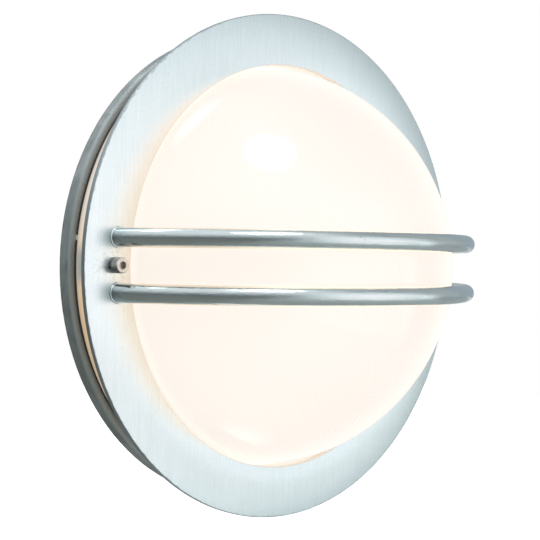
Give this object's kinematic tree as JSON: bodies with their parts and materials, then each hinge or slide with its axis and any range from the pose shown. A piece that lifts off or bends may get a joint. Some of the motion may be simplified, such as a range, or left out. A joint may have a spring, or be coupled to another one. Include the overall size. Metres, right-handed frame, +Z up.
{
  "type": "round outdoor wall light with guard bars",
  "caption": "Round wall light: galvanised steel pan and flat front ring, opal dome and bowed round guard bars, with its lampholder, terminal block and bulb inside.",
  "frame": {"origin": "middle of the two wall fixing holes, on the wall plane behind the pan", "axes": "+Z up, -Y out from the wall towards the viewer, +X to the right seen from the front"},
  "size_m": [0.3, 0.1356, 0.3],
  "materials": {
    "pan_zinc": "dull galvanised sheet",
    "ring_zinc": "galvanised and brushed along one direction",
    "bar_zinc": "hot-dip galvanised, slightly pitted",
    "weld_zinc": "galvanised weld, uneven",
    "screw_steel": "plain stainless",
    "opal": "opal, satin gloss",
    "bulb_glass": "opal bulb with a nickel cap",
    "seal_rubber": "matt black",
    "holder_ceramic": "white glaze",
    "block_plastic": "natural moulded",
    "brass": "plain turned and pressed",
    "live_sleeve": "brown insulation",
    "neutral_sleeve": "blue insulation",
    "earth_sleeve": "green and yellow insulation"
  },
  "bodies": {
    "root": {"back_pan": "pan_zinc", "clinch_nuts": "screw_steel", "seal_ring": "seal_rubber", "cable_grommet": "seal_rubber", "terminal_block": "block_plastic", "terminal_inserts": "brass", "terminal_screws": "screw_steel", "terminal_fixing_screw": "screw_steel", "holder_bracket": "pan_zinc", "bracket_screws": "screw_steel", "lampholder": "holder_ceramic", "lampholder_sleeve": "brass", "lampholder_contact": "brass", "lampholder_screws": "screw_steel", "earth_screw": "screw_steel", "earth_washer": "screw_steel", "earth_tag": "screw_steel", "live_lead": "live_sleeve", "neutral_lead": "neutral_sleeve", "earth_lead": "earth_sleeve", "bulb": "bulb_glass", "opal_dome": "opal", "front_ring": "ring_zinc", "upper_bar": "bar_zinc", "lower_bar": "bar_zinc", "weld_beads": "weld_zinc", "spacer_tubes": "bar_zinc", "spring_washers": "screw_steel", "cap_screws": "screw_steel"}
  },
  "joints": []
}
